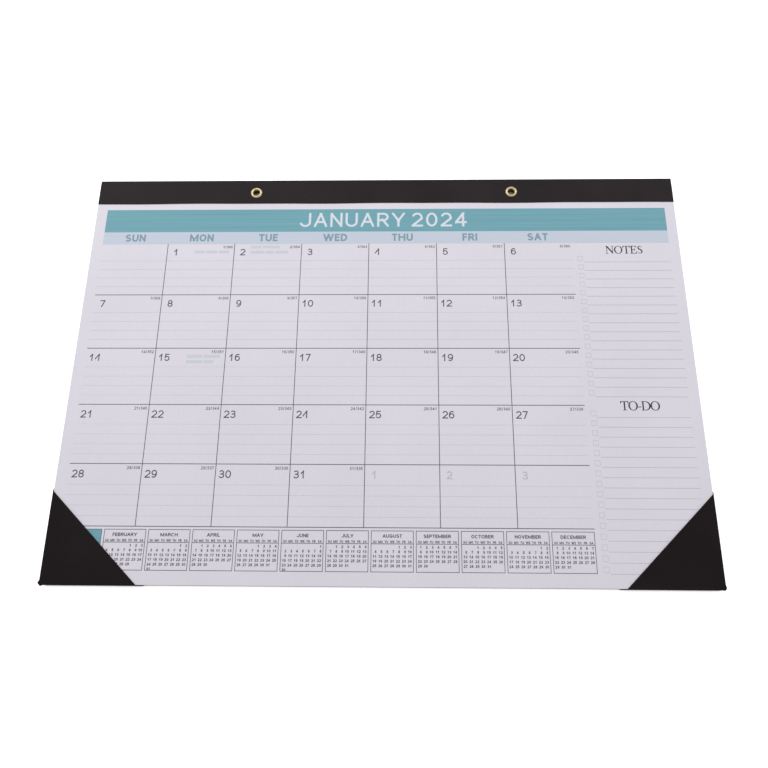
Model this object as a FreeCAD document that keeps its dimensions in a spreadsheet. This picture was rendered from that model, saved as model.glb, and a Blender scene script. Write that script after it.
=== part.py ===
import FreeCAD, Part
import math
import os
import Sketcher

# A wall calendar lying on its back: a pad of month sheets on a stiff board, a strip folded over
# the top edge, two eyelets to hang it by, and a pocket folded round each bottom corner.
# X runs along the page, Y up the page towards the strip, and Z out of the page.
# The origin is under the middle of the page, on the surface that the calendar lies on.

SIZES = {
    # pad of sheets and board
    "page_width": 432,
    "page_height": 300,
    "pad_thickness": 1.6,
    "board_thickness": 1.2,
    # leatherette of the strip and the pockets
    "leather_thickness": 0.4,
    "fold_radius": 0.6,
    "strip_front_leg": 20,
    "strip_back_leg": 22,
    # eyelets: radii of the bore, the rolled rim in front and the clinched roll behind
    "eyelet_spacing": 192,
    "eyelet_inset": 11,
    "eyelet_bore_radius": 2.4,
    "eyelet_wall": 0.3,
    "eyelet_rim_radius": 4.4,
    "eyelet_roll_radius": 3.8,
    "eyelet_clearance": 0.1,
    # corner pockets: the leg is what a pocket covers of each edge of the page
    "pocket_leg": 60,
    "pocket_clearance": 0.1,
    "pocket_flap_reach": 12,
    "pocket_ear_length": 3,
    "pocket_ear_width": 1.2,
    # print on the top sheet, measured from the left and top edges of the page
    "print_thickness": 0.05,
    "print_left": 8,
    "print_right_margin": 7.4,
    "title_top": 25.2,
    "title_height": 19.2,
    "weekday_height": 10,
    "bottom_margin": 9,
    # table of days: the outer columns are set, and the inner ones share what is left
    "day_line_width": 0.45,
    "day_columns": 7,
    "day_rows": 5,
    "outer_column_width": 49,
    # writing lines in each row of days, which start two lines down
    "writing_line_width": 0.25,
    "writing_lines": 4,
    # two lists beside the table of days, each with a tick box before every line
    "list_width": 62.7,
    "list_line_width": 0.3,
    "list_lines": 16,
    "list_gap": 3.6,
    "notes_gap": 15.6,
    "to_do_gap": 14.7,
    "tick_box_side": 3.7,
    "tick_box_line": 0.25,
    "tick_box_gap": 0.6,
    "tick_box_rise": 4.45,
    # row of small month tables under the table of days
    "month_count": 12,
    "month_inset": 0.35,
    "month_spacing": 1.5,
    "month_gap": 1.85,
    "month_height": 26.25,
    "month_line_width": 0.35,
    "month_header": 8.4,
}

# Heights above the surface that the calendar lies on, from its back to its front
STRIP_BACK = "(Sizes.eyelet_roll_radius - Sizes.eyelet_bore_radius) / 2"
BOARD_BACK = f"({STRIP_BACK} + Sizes.leather_thickness)"
PAD_BACK = f"({BOARD_BACK} + Sizes.board_thickness)"
PAGE_FACE = f"({PAD_BACK} + Sizes.pad_thickness)"
STRIP_FACE = f"({PAGE_FACE} + Sizes.leather_thickness)"

# Edges of the page
PAGE_LEFT = "-Sizes.page_width / 2"
PAGE_BOTTOM = "-Sizes.page_height / 2"
PAGE_TOP = "Sizes.page_height / 2"

# Eyelets, and the holes for them
EYELET_X = "Sizes.eyelet_spacing / 2"
EYELET_Y = f"({PAGE_TOP} - Sizes.eyelet_inset)"
BARREL_RADIUS = "(Sizes.eyelet_bore_radius + Sizes.eyelet_wall)"
HOLE_RADIUS = f"({BARREL_RADIUS} + Sizes.eyelet_clearance)"

# Straight runs that stand for each half circle of an eyelet's section, outside and inside
OUTER_RUNS = 4
INNER_RUNS = 2

# Corner pockets, from the corner of the pad: outside of the walls, and height over all
WALL = "(Sizes.pocket_clearance + Sizes.leather_thickness)"
SLEEVE = "(Sizes.board_thickness + Sizes.pad_thickness + Sizes.print_thickness + Sizes.pocket_clearance)"
POCKET_HEIGHT = f"({SLEEVE} + 2 * Sizes.leather_thickness)"
MARGIN = 1

# Title band, and the two lists at the right of the page
PRINT_WIDTH = "(Sizes.page_width - Sizes.print_left - Sizes.print_right_margin)"
LIST_LEFT = "(Sizes.page_width - Sizes.print_right_margin - Sizes.list_width)"
BOX_LEFT = f"({LIST_LEFT} - Sizes.tick_box_gap - Sizes.tick_box_side)"

# Table of days, which fills what the title, the lists and the months leave
MONTH_TOP = "(Sizes.page_height - Sizes.bottom_margin - Sizes.month_height)"
TABLE_TOP = "(Sizes.title_top + Sizes.title_height + Sizes.weekday_height)"
TABLE_WIDTH = f"({BOX_LEFT} - Sizes.list_gap - Sizes.print_left)"
TABLE_HEIGHT = f"({MONTH_TOP} - Sizes.month_gap - {TABLE_TOP})"
COLUMN_PITCH = f"(({TABLE_WIDTH} - 2 * Sizes.outer_column_width) / (Sizes.day_columns - 2))"
ROW_PITCH = f"({TABLE_HEIGHT} / Sizes.day_rows)"
WRITING_PITCH = f"({ROW_PITCH} / (Sizes.writing_lines + 2))"

# Lines of the lists, and the month tables
NOTES_TOP = f"({TABLE_TOP} + Sizes.notes_gap)"
LISTS_HEIGHT = f"(Sizes.page_height - Sizes.bottom_margin - {NOTES_TOP} - Sizes.to_do_gap)"
LIST_PITCH = f"({LISTS_HEIGHT} / (2 * Sizes.list_lines - 2))"
TO_DO_TOP = f"({NOTES_TOP} + {LISTS_HEIGHT} / 2 + Sizes.to_do_gap)"
MONTH_LEFT = "(Sizes.print_left + Sizes.month_inset)"
MONTH_PITCH = f"(({TABLE_WIDTH} - 2 * Sizes.month_inset + Sizes.month_spacing) / Sizes.month_count)"
MONTH_WIDTH = f"({MONTH_PITCH} - Sizes.month_spacing)"


def make_sheet(doc):
    """Writes the driving sizes into a sheet, each with its own alias"""
    sheet = doc.addObject("Spreadsheet::Sheet", "Sizes")
    for row, (alias, value) in enumerate(SIZES.items(), start=1):
        sheet.set(f"A{row}", alias)
        sheet.set(f"B{row}", str(value))
        sheet.setAlias(f"B{row}", alias)
    doc.recompute()
    return sheet


def new_body(doc, label, x="0", y="0", z="0"):
    """Starts a piece whose own origin stands at the given place"""
    body = doc.addObject("PartDesign::Body", label)
    body.Label = label
    for axis, place in zip("xyz", (x, y, z)):
        body.setExpression(f"Placement.Base.{axis}", place)
    return body


def new_sketch(body, name, plane, height=None):
    """Sketch on one of the piece's own origin planes, or at a height along its normal"""
    sketch = body.newObject("Sketcher::SketchObject", name)
    planes = {item.Role: item for item in body.Origin.OriginFeatures}
    sketch.AttachmentSupport = [(planes[plane], "")]
    sketch.MapMode = "FlatFace"
    if height is not None:
        sketch.setExpression("AttachmentOffset.Base.z", height)
    return sketch


def tie(sketch, geometry, point, x=None, y=None):
    """Ties a point of the sketch to its place, given as expressions"""
    for kind, place in (("DistanceX", x), ("DistanceY", y)):
        if place is None:
            continue
        value = float(sketch.evalExpression(place))
        index = sketch.addConstraint(Sketcher.Constraint(kind, -1, 1, geometry, point, value))
        sketch.setExpression(f"Constraints[{index}]", place)


def point_at(sketch, corner):
    x, y = (float(sketch.evalExpression(place)) for place in corner)
    return FreeCAD.Vector(x, y, 0)


def draw(sketch, corners):
    """Draws a closed outline through corners given as pairs of expressions"""
    places = [point_at(sketch, corner) for corner in corners]
    sides = [sketch.addGeometry(Part.LineSegment(start, end))
             for start, end in zip(places, places[1:] + places[:1])]
    for side, after, corner in zip(sides, sides[1:] + sides[:1], corners):
        sketch.addConstraint(Sketcher.Constraint("Coincident", side, 2, after, 1))
        tie(sketch, side, 1, *corner)


def draw_circle(sketch, centre, radius):
    """Draws a circle with its centre and radius given as expressions"""
    value = float(sketch.evalExpression(radius))
    circle = Part.Circle(point_at(sketch, centre), FreeCAD.Vector(0, 0, 1), value)
    index = sketch.addGeometry(circle)
    tie(sketch, index, 3, *centre)
    size = sketch.addConstraint(Sketcher.Constraint("Radius", index, value))
    sketch.setExpression(f"Constraints[{size}]", radius)


def block(left, low, right, high):
    """Corners of an upright rectangle"""
    return [(left, low), (right, low), (right, high), (left, high)]


def field(left, top, width, height):
    """Corners of a rectangle of print, measured from the top left corner of the page"""
    return block(left, f"-({top}) - ({height})", f"({left}) + ({width})", f"-({top})")


def pad(body, sketch, length, symmetric=False):
    """Thickens a sketch along its normal"""
    feature = body.newObject("PartDesign::Pad", sketch.Name + "_pad")
    feature.Profile = sketch
    feature.setExpression("Length", length)
    if symmetric:
        feature.SideType = "Symmetric"
    return feature


def pocket(body, sketch, length=None):
    """Cuts a sketch along its normal for a length, or through everything"""
    feature = body.newObject("PartDesign::Pocket", sketch.Name + "_cut")
    feature.Profile = sketch
    if length is None:
        feature.Type = "ThroughAll"
        feature.SideType = "Symmetric"
    else:
        feature.setExpression("Length", length)
        feature.Reversed = True
    return feature


def repeat(body, feature, axis, spacing, count, reverse=False):
    """Repeats a feature along one of the piece's own axes"""
    pattern = body.newObject("PartDesign::LinearPattern", feature.Name + "_row")
    axes = {item.Role: item for item in body.Origin.OriginFeatures}
    pattern.Originals = [feature]
    pattern.Direction = (axes[axis], [""])
    pattern.Reversed = reverse
    pattern.Mode = "Spacing"
    pattern.setExpression("Offset", spacing)
    pattern.setExpression("Occurrences", count)
    body.Tip = pattern
    return pattern


def round_edges(body, feature, chosen, radius):
    """Rounds the edges of a feature that a test picks by place"""
    body.Document.recompute()
    names = [f"Edge{n}" for n, edge in enumerate(feature.Shape.Edges, start=1) if chosen(edge)]
    fillet = body.newObject("PartDesign::Fillet", feature.Name + "_folds")
    fillet.Base = (feature, names)
    fillet.setExpression("Radius", radius)
    return fillet


def make_sheets(doc, label, back, thickness):
    """The pad of sheets or the board: a flat block with two holes for the eyelets"""
    body = new_body(doc, label, z=back)
    outline = new_sketch(body, label + "_outline", "XY_Plane")
    draw(outline, block(PAGE_LEFT, PAGE_BOTTOM, "Sizes.page_width / 2", PAGE_TOP))
    pad(body, outline, thickness)
    holes = new_sketch(body, label + "_holes", "XY_Plane")
    for x in (f"-{EYELET_X}", EYELET_X):
        draw_circle(holes, (x, EYELET_Y), HOLE_RADIUS)
    pocket(body, holes)
    return body


def make_strip(doc):
    """Leatherette folded over the top edge: front leg, rounded fold and back leg"""
    body = new_body(doc, "binding_strip", y=PAGE_TOP, z=STRIP_BACK)
    skin = "Sizes.leather_thickness"
    under = f"({skin} + Sizes.board_thickness + Sizes.pad_thickness)"
    top = f"({under} + {skin})"
    section = new_sketch(body, "strip_section", "YZ_Plane")
    draw(section, [
        ("-Sizes.strip_front_leg", under),
        ("-Sizes.strip_front_leg", top),
        (skin, top),
        (skin, "0"),
        ("-Sizes.strip_back_leg", "0"),
        ("-Sizes.strip_back_leg", skin),
        ("0", skin),
        ("0", under),
    ])
    strip = pad(body, section, "Sizes.page_width", symmetric=True)

    def is_outer_fold(edge):
        # only the two outer folds run along X at the strip's highest Y
        box = edge.BoundBox
        return box.YLength < 0.01 and box.ZLength < 0.01 and box.YMax > strip.Shape.BoundBox.YMax - 0.01

    round_edges(body, strip, is_outer_fold, "Sizes.fold_radius")
    holes = new_sketch(body, "strip_holes", "XY_Plane")
    for x in (f"-{EYELET_X}", EYELET_X):
        draw_circle(holes, (x, "-Sizes.eyelet_inset"), HOLE_RADIUS)
    pocket(body, holes)
    return body


def half_turn(inside, outside, level, way, runs):
    """Half circle over (way 1) or under (way -1) a level, from one radius to another, in short runs"""
    centre = f"({inside} + {outside}) / 2"
    half = f"({inside} - {outside}) / 2"
    angles = [math.pi * number / runs for number in range(runs + 1)]
    return [(f"{centre} + {half} * {math.cos(angle):.6f}",
             f"{level} + abs({half}) * {way * math.sin(angle):.6f}") for angle in angles]


def make_eyelet(doc, label, side):
    """Brass eyelet: a tube with a rolled rim in front, clinched into a smaller roll behind"""
    body = new_body(doc, label, x=f"{side} * {EYELET_X}", y=EYELET_Y)
    bore = "Sizes.eyelet_bore_radius"
    rim = "Sizes.eyelet_rim_radius"
    roll = "Sizes.eyelet_roll_radius"
    wall = "Sizes.eyelet_wall"
    section = new_sketch(body, label + "_section", "XZ_Plane")
    draw(section, [
        *half_turn(bore, rim, STRIP_FACE, 1, OUTER_RUNS),
        *half_turn(f"({rim} - {wall})", BARREL_RADIUS, STRIP_FACE, 1, INNER_RUNS),
        *half_turn(BARREL_RADIUS, f"({roll} - {wall})", STRIP_BACK, -1, INNER_RUNS),
        *half_turn(roll, bore, STRIP_BACK, -1, OUTER_RUNS),
    ])
    turned = body.newObject("PartDesign::Revolution", label + "_turned")
    turned.Profile = section
    turned.ReferenceAxis = (section, ["V_Axis"])
    turned.Angle = 360
    return body


def make_pocket(doc):
    """Leatherette strip laid across the left bottom corner and folded round both edges.

    The strip's long edges run at 45 degrees, so after the folds the ends of the walls slant,
    and the two flaps behind leave a narrow gap between them along the diagonal.
    The piece's own origin is at the corner of the pad, level with the backs of the flaps.
    """
    body = new_body(doc, "left_corner", x=PAGE_LEFT, y=PAGE_BOTTOM, z=STRIP_BACK)
    skin = "Sizes.leather_thickness"
    outer = f"-{WALL}"
    inner = "-Sizes.pocket_clearance"
    leg = "Sizes.pocket_leg"
    reach = "Sizes.pocket_flap_reach"
    # how far the strip's upper edge has climbed once it is round the back
    climb = f"({leg} + 2 * {WALL} + {POCKET_HEIGHT})"
    far = f"({reach} + {climb} + {MARGIN})"
    beyond = f"({outer} - {MARGIN})"

    corner = new_sketch(body, "pocket_block", "XY_Plane")
    draw(corner, block(outer, outer, far, far))
    solid = pad(body, corner, POCKET_HEIGHT)

    def is_fold(edge):
        # the folds run along the two outer sides, in front and behind
        box, whole = edge.BoundBox, solid.Shape.BoundBox
        level = box.ZLength < 0.01
        return level and (box.XMax < whole.XMin + 0.01 or box.YMax < whole.YMin + 0.01)

    round_edges(body, solid, is_fold, "Sizes.fold_radius")

    sleeve = new_sketch(body, "pocket_sleeve", "XY_Plane", skin)
    draw(sleeve, block(inner, inner, f"{far} + {MARGIN}", f"{far} + {MARGIN}"))
    pocket(body, sleeve, SLEEVE)

    front = new_sketch(body, "pocket_front_edge", "XY_Plane", f"{skin} + {SLEEVE} / 2")
    draw(front, [
        (inner, f"{leg} + Sizes.pocket_clearance"),
        (f"{leg} + Sizes.pocket_clearance", inner),
        (f"{far} + {MARGIN}", inner),
        (f"{far} + {MARGIN}", f"{far} + {MARGIN}"),
        (inner, f"{far} + {MARGIN}"),
    ])
    pocket(body, front, POCKET_HEIGHT)

    trim_walls(body, outer, leg, far)

    back = new_sketch(body, "pocket_flaps", "XY_Plane", "-0.5 * Sizes.leather_thickness")
    draw(back, block(beyond, beyond, f"{far} + {MARGIN}", f"{far} + {MARGIN}"))
    flap = [
        (f"{outer} - {MARGIN} / 2", f"{outer} - {MARGIN} / 2 + {POCKET_HEIGHT}"),
        (f"{reach} + {leg} / 2 + {WALL}", f"{reach} + {leg} / 2 + {WALL} + {POCKET_HEIGHT}"),
        (reach, f"{reach} + {climb}"),
        (f"{outer} - {MARGIN} / 2", f"{outer} - {MARGIN} / 2 + {climb}"),
    ]
    draw(back, flap)
    draw(back, [(y, x) for x, y in flap])
    pocket(body, back, f"1.5 * {skin} + 0.5 * {SLEEVE}")

    add_ears(body, outer)
    return body


def trim_walls(body, outer, leg, far):
    """Cuts the slanted ends of the two walls, at the corner and at the far ends"""
    low_end = [
        (outer, POCKET_HEIGHT),
        (f"{outer} + {POCKET_HEIGHT} + {MARGIN}", f"-{MARGIN}"),
        (f"{outer} - {MARGIN}", f"-{MARGIN}"),
        (f"{outer} - {MARGIN}", POCKET_HEIGHT),
    ]
    high_end = [
        (f"{leg} + {WALL} - {MARGIN}", f"{POCKET_HEIGHT} + {MARGIN}"),
        (f"{leg} + {WALL} + {POCKET_HEIGHT} + {MARGIN}", f"-{MARGIN}"),
        (f"{far} + {MARGIN}", f"-{MARGIN}"),
        (f"{far} + {MARGIN}", f"{POCKET_HEIGHT} + {MARGIN}"),
    ]
    # the normal of the XZ plane points towards the front edge, against Y
    for name, plane, face in (("left", "YZ_Plane", f"{outer} - {MARGIN}"),
                              ("bottom", "XZ_Plane", "Sizes.pocket_clearance")):
        ends = new_sketch(body, f"pocket_{name}_wall_ends", plane, face)
        draw(ends, low_end)
        draw(ends, high_end)
        pocket(body, ends, f"Sizes.leather_thickness + {MARGIN}")


def add_ears(body, outer):
    """The cut edge flares out into a small ear on each side of the corner"""
    length = f"({outer} + Sizes.pocket_ear_length)"
    rounded = f"({outer} + Sizes.fold_radius)"
    tip_out = f"({outer} - Sizes.pocket_ear_width)"
    tip_in = f"({outer} + Sizes.pocket_ear_width)"
    ears = new_sketch(body, "pocket_ears", "XY_Plane", f"{POCKET_HEIGHT} - Sizes.leather_thickness")
    draw(ears, [
        (rounded, length),
        (outer, length),
        (tip_out, tip_in),
        (tip_in, tip_out),
        (length, outer),
        (length, rounded),
    ])
    pad(body, ears, "Sizes.leather_thickness")


def new_print(doc, label):
    """Starts a layer of print, whose own origin is the top left corner of the page"""
    return new_body(doc, label, x=PAGE_LEFT, y=PAGE_TOP, z=PAGE_FACE)


def print_field(body, name, *fields):
    """Lays down fields of colour"""
    sketch = new_sketch(body, name, "XY_Plane")
    for corners in fields:
        draw(sketch, corners)
    return pad(body, sketch, "Sizes.print_thickness")


def make_bands(doc):
    """Title band, and the paler band of weekdays under it"""
    title = new_print(doc, "title_band_print")
    left = "Sizes.print_left"
    print_field(title, "title_band", field(left, "Sizes.title_top", PRINT_WIDTH, "Sizes.title_height"))
    weekdays = new_print(doc, "weekday_band_print")
    top = "(Sizes.title_top + Sizes.title_height)"
    print_field(weekdays, "weekday_band", field(left, top, PRINT_WIDTH, "Sizes.weekday_height"))
    return title, weekdays


def make_day_table(doc):
    """Lines of the table of days: the uprights between columns, then the line under each row"""
    body = new_print(doc, "day_grid_print")
    half = "Sizes.day_line_width / 2"
    line = "Sizes.day_line_width"
    first = f"Sizes.print_left + Sizes.outer_column_width - {half}"
    upright = print_field(body, "column_line", field(first, TABLE_TOP, line, TABLE_HEIGHT))
    repeat(body, upright, "X_Axis", COLUMN_PITCH, "Sizes.day_columns - 1")
    under = f"{TABLE_TOP} + {ROW_PITCH} - {half}"
    level = print_field(body, "row_line", field("Sizes.print_left", under, TABLE_WIDTH, line))
    repeat(body, level, "Y_Axis", ROW_PITCH, "Sizes.day_rows", reverse=True)
    return body


def make_writing_lines(doc, table):
    """Faint writing lines in each row of days, stopping at the lines of the table"""
    bars = new_print(doc, "writing_bars")
    row = new_sketch(bars, "writing_row", "XY_Plane")
    for number in range(round(doc.Sizes.writing_lines)):
        top = f"{TABLE_TOP} + {number + 2} * {WRITING_PITCH}"
        draw(row, field("Sizes.print_left", top, TABLE_WIDTH, "Sizes.writing_line_width"))
    first = pad(bars, row, "Sizes.print_thickness")
    repeat(bars, first, "Y_Axis", ROW_PITCH, "Sizes.day_rows", reverse=True)
    lines = doc.addObject("Part::Cut", "writing_lines_print")
    lines.Label = "writing_lines_print"
    lines.Base = bars
    lines.Tool = table
    return lines


def make_lists(doc):
    """Two lists of ruled lines, and the tick boxes beside them"""
    lines = new_print(doc, "list_lines_print")
    boxes = new_print(doc, "tick_boxes_print")
    edge = "Sizes.tick_box_line"
    side = "Sizes.tick_box_side"
    for name, top in (("notes", NOTES_TOP), ("to_do", TO_DO_TOP)):
        line = print_field(
            lines, name + "_line",
            field(LIST_LEFT, top, "Sizes.list_width", "Sizes.list_line_width"))
        repeat(lines, line, "Y_Axis", LIST_PITCH, "Sizes.list_lines", reverse=True)
        box_top = f"{top} - Sizes.tick_box_rise"
        box = print_field(
            boxes, name + "_box",
            field(BOX_LEFT, box_top, side, side),
            field(f"{BOX_LEFT} + {edge}", f"{box_top} + {edge}",
                  f"{side} - 2 * {edge}", f"{side} - 2 * {edge}"))
        repeat(boxes, box, "Y_Axis", LIST_PITCH, "Sizes.list_lines", reverse=True)
    return lines, boxes


def make_months(doc):
    """Row of small month tables, each a frame with a line under its heading"""
    line = "Sizes.month_line_width"
    left = f"{MONTH_LEFT} + {line}"
    width = f"{MONTH_WIDTH} - 2 * {line}"
    head_top = f"{MONTH_TOP} + {line}"
    head = f"(Sizes.month_header - 1.5 * {line})"
    panes = (
        field(left, head_top, width, head),
        field(left, f"{head_top} + {head} + {line}", width, f"Sizes.month_height - 3 * {line} - {head}"),
    )
    frames = new_print(doc, "month_frames_print")
    whole = field(MONTH_LEFT, MONTH_TOP, MONTH_WIDTH, "Sizes.month_height")
    frame = print_field(frames, "month_frame", whole, *panes)
    repeat(frames, frame, "X_Axis", MONTH_PITCH, "Sizes.month_count")
    current = new_print(doc, "current_month_print")
    print_field(current, "month_fill", *panes)
    return frames, current


def make_calendar(doc):
    """Makes every piece and returns those that are handed over"""
    make_sheet(doc)
    left_corner = make_pocket(doc)
    right_corner = doc.addObject("Part::Mirroring", "right_corner")
    right_corner.Label = "right_corner"
    right_corner.Source = left_corner
    right_corner.Normal = FreeCAD.Vector(1, 0, 0)
    table = make_day_table(doc)
    return [
        make_sheets(doc, "month_sheets", PAD_BACK, "Sizes.pad_thickness"),
        make_sheets(doc, "back_board", BOARD_BACK, "Sizes.board_thickness"),
        make_strip(doc),
        make_eyelet(doc, "left_eyelet", -1),
        make_eyelet(doc, "right_eyelet", 1),
        left_corner,
        right_corner,
        *make_bands(doc),
        table,
        make_writing_lines(doc, table),
        *make_lists(doc),
        *make_months(doc),
    ]


def check(doc, pieces):
    """Stops if any object failed to compute or any piece is not a sound solid"""
    for item in doc.Objects:
        if "Invalid" in item.State or "Error" in item.State:
            raise RuntimeError(f"{item.Label} failed: {item.State}")
    for piece in pieces:
        shape = piece.Shape
        if shape.isNull() or not shape.isValid() or not shape.Solids or shape.Volume <= 0:
            raise RuntimeError(f"{piece.Label} is not a sound solid")


def main():
    doc = FreeCAD.newDocument("wall_calendar")
    pieces = make_calendar(doc)
    doc.recompute()
    check(doc, pieces)
    os.makedirs("parts", exist_ok=True)
    for piece in pieces:
        piece.Shape.exportStep(f"parts/{piece.Label}.step")
        box = piece.Shape.BoundBox
        print(f"{piece.Label}: {len(piece.Shape.Solids)} solids, {piece.Shape.Volume:.2f} mm3,",
              f"x {box.XMin:.2f} to {box.XMax:.2f}, y {box.YMin:.2f} to {box.YMax:.2f},",
              f"z {box.ZMin:.2f} to {box.ZMax:.2f}")


main()
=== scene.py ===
"""Looks of a flat wall calendar: leaves on a board, a strip with two eyelets, two corner pockets."""

import calendar
import math
import random

import bmesh
import bpy
from mathutils import Matrix, Vector


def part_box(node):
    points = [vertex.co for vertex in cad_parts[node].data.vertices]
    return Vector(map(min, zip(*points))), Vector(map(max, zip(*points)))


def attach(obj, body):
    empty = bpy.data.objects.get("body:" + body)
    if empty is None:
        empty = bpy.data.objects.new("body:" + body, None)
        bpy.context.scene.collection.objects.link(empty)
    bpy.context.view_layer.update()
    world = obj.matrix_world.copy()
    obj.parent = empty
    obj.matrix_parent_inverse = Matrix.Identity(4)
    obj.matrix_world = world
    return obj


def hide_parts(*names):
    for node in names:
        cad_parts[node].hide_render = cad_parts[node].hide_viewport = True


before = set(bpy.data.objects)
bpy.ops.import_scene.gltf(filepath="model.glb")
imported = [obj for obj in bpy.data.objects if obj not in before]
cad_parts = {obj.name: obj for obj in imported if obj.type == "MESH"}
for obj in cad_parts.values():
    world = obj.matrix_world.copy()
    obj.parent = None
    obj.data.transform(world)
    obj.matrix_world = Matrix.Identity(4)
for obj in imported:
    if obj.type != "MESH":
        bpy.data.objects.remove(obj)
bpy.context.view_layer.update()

MM = 0.001
BODY = "root"

# the page, in mm, with heights above the surface that the calendar lies on
PAGE_WIDTH = 432.0
PAGE_HEIGHT = 300.0
PAGE_BACK = 2.3
PAGE_FACE = 3.9
PRINT_TOP = 3.95
PRINT_SUNK = 0.04
LETTER_RISE = 0.02

# the eyelets, in mm
EYELET_X = 96.0
EYELET_Y = 139.0
BORE = 2.4
BARREL = 2.7
RIM = 4.4
ROLL = 3.8
WALL = 0.3
STRIP_FACE = 4.3
STRIP_BACK = 0.7
BARREL_SHADOW = 1.6

# the table of days and the strip of months, in mm from the page's left and top edges
TABLE_LEFT = 8.0
TABLE_RIGHT = 354.0
TABLE_TOP = 54.4
FIRST_COLUMN = 49.0
COLUMN = 49.6
ROW = 41.7
MONTH_LEFT = 8.35
MONTH_PITCH = 28.9
MONTH_WIDTH = 27.4

YEAR = 2024
DAYS_OF_YEAR = 366
WEEKDAYS = ("SUN", "MON", "TUE", "WED", "THU", "FRI", "SAT")
MONTHS = ("JANUARY", "FEBRUARY", "MARCH", "APRIL", "MAY", "JUNE", "JULY",
          "AUGUST", "SEPTEMBER", "OCTOBER", "NOVEMBER", "DECEMBER")


# materials

WHITE = (1.0, 1.0, 1.0)
MICRON = 0.000001


def new_material(name, colour, roughness, specular=0.5, metallic=0.0):
    """A material whose detail comes from the nodes that the other functions add"""
    material = bpy.data.materials.new(name)
    material.use_nodes = True
    shader = material.node_tree.nodes["Principled BSDF"]
    shader.inputs["Base Color"].default_value = (*colour, 1.0)
    shader.inputs["Roughness"].default_value = roughness
    shader.inputs["Specular IOR Level"].default_value = specular
    shader.inputs["Metallic"].default_value = metallic
    return material


def add(material, kind, **settings):
    """A node of a kind, with its properties and its inputs set by name"""
    node = material.node_tree.nodes.new(kind)
    for name, value in settings.items():
        if hasattr(node, name):
            setattr(node, name, value)
        else:
            node.inputs[name].default_value = value
    return node


def link(material, start, end):
    material.node_tree.links.new(start, end)


def noise(material, scale, detail=3.0, rough=0.5, stretch=(1.0, 1.0, 1.0)):
    """Noise in the calendar's frame, in features a metre; a small factor stretches it along an axis"""
    where = add(material, "ShaderNodeTexCoord")
    sized = add(material, "ShaderNodeMapping")
    sized.inputs["Scale"].default_value = [scale * factor for factor in stretch]
    link(material, where.outputs["Object"], sized.inputs["Vector"])
    pattern = add(material, "ShaderNodeTexNoise", Detail=detail, Roughness=rough, Scale=1.0)
    link(material, sized.outputs["Vector"], pattern.inputs["Vector"])
    return pattern.outputs["Fac"]


def cells(material, scale):
    """Small pebbled cells, as in embossed leatherette"""
    where = add(material, "ShaderNodeTexCoord")
    pattern = add(material, "ShaderNodeTexVoronoi", feature="SMOOTH_F1", Scale=scale, Smoothness=0.6)
    link(material, where.outputs["Object"], pattern.inputs["Vector"])
    return pattern.outputs["Distance"]


def ramp(material, value, low, high, start=0.35, end=0.65):
    """A colour that goes from low to high with a pattern"""
    steps = add(material, "ShaderNodeValToRGB")
    steps.color_ramp.elements[0].position = start
    steps.color_ramp.elements[0].color = (*low, 1.0)
    steps.color_ramp.elements[1].position = end
    steps.color_ramp.elements[1].color = (*high, 1.0)
    link(material, value, steps.inputs["Fac"])
    return steps.outputs["Color"]


def multiply(material, first, second):
    """The product of two colours"""
    mixer = add(material, "ShaderNodeMixRGB", blend_type="MULTIPLY")
    mixer.inputs["Fac"].default_value = 1.0
    link(material, first, mixer.inputs["Color1"])
    link(material, second, mixer.inputs["Color2"])
    return mixer.outputs["Color"]


def paint(material, colour):
    """Gives the shader its colour from a node"""
    link(material, colour, material.node_tree.nodes["Principled BSDF"].inputs["Base Color"])


def vary_roughness(material, value, low, high):
    """A roughness that goes from low to high with a pattern"""
    span = add(material, "ShaderNodeMapRange")
    span.inputs["To Min"].default_value = low
    span.inputs["To Max"].default_value = high
    link(material, value, span.inputs["Value"])
    shader = material.node_tree.nodes["Principled BSDF"]
    link(material, span.outputs["Result"], shader.inputs["Roughness"])


def bump(material, layers):
    """Relief of one or more patterns, each with its depth in microns"""
    normal = None
    for value, depth in layers:
        relief = add(material, "ShaderNodeBump", Strength=1.0, Distance=depth * MICRON)
        link(material, value, relief.inputs["Height"])
        if normal is not None:
            link(material, normal, relief.inputs["Normal"])
        normal = relief.outputs["Normal"]
    link(material, normal, material.node_tree.nodes["Principled BSDF"].inputs["Normal"])


def shade(colour, factor):
    return tuple(channel * factor for channel in colour)


def make_paper():
    """Uncoated white paper with soft mottle and fibres"""
    colour = (0.735, 0.705, 0.775)
    paper = new_material("sheet_paper", colour, roughness=0.75, specular=0.25)
    cloud = ramp(paper, noise(paper, 14.0, detail=4.0), shade(colour, 0.985), shade(colour, 1.015))
    fibre = noise(paper, 900.0, detail=5.0, rough=0.65, stretch=(1.0, 0.35, 1.0))
    flecks = ramp(paper, fibre, shade(WHITE, 0.975), WHITE)
    paint(paper, multiply(paper, cloud, flecks))
    tooth = noise(paper, 2200.0, detail=4.0, rough=0.6)
    cockle = noise(paper, 9.0, detail=2.0)
    bump(paper, [(tooth, 10.0), (cockle, 400.0)])
    return paper


def make_ink(name, colour, streak=0.03, stretch=(0.02, 1.0, 1.0), scale=900.0):
    """Matt ink that lets the tooth of the paper through and lies in faint streaks"""
    ink = new_material(name, colour, roughness=0.7, specular=0.25)
    pattern = noise(ink, scale, detail=4.0, rough=0.6, stretch=stretch)
    lines = ramp(ink, pattern, shade(colour, 1.0 - streak), shade(colour, 1.0 + streak), 0.3, 0.7)
    tooth = noise(ink, 2500.0)
    paint(ink, multiply(ink, lines, ramp(ink, tooth, shade(WHITE, 0.96), WHITE)))
    bump(ink, [(tooth, 8.0)])
    return ink


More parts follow.
